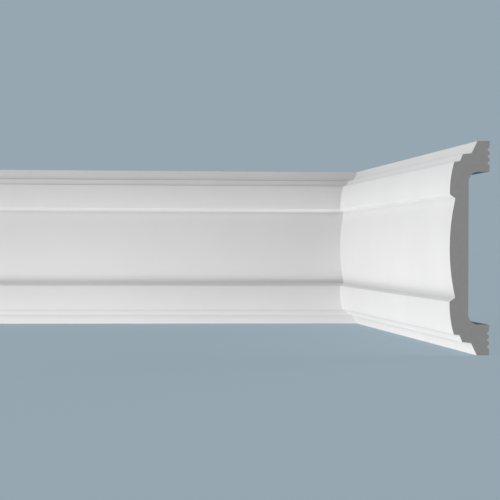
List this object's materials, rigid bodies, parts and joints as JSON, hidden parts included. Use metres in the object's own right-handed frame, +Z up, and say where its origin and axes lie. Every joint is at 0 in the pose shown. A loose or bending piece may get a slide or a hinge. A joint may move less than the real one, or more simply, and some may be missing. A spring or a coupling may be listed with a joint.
{
  "type": "wall moulding",
  "caption": "White foam wall moulding mitred round an inside corner, with a bowed panel between rounded bands, stepped edges and a hollow back with grooved glue lands.",
  "frame": {"origin": "heel of the mitre at the level of the lower long edge, where the two walls and the floor would meet", "axes": "the main run goes along -X with its back to the wall plane Y = 0, the return goes along -Y with its back to the wall plane X = 0, and +Z is up across the moulding's height"},
  "size_m": [2, 0.6, 0.16],
  "materials": {
    "primed_foam": "rigid polyurethane foam with a smooth matt white primer, grey and fine-celled where it is sawn"
  },
  "bodies": {
    "root": {"main_run": "primed_foam", "return_run": "primed_foam"}
  },
  "joints": []
}
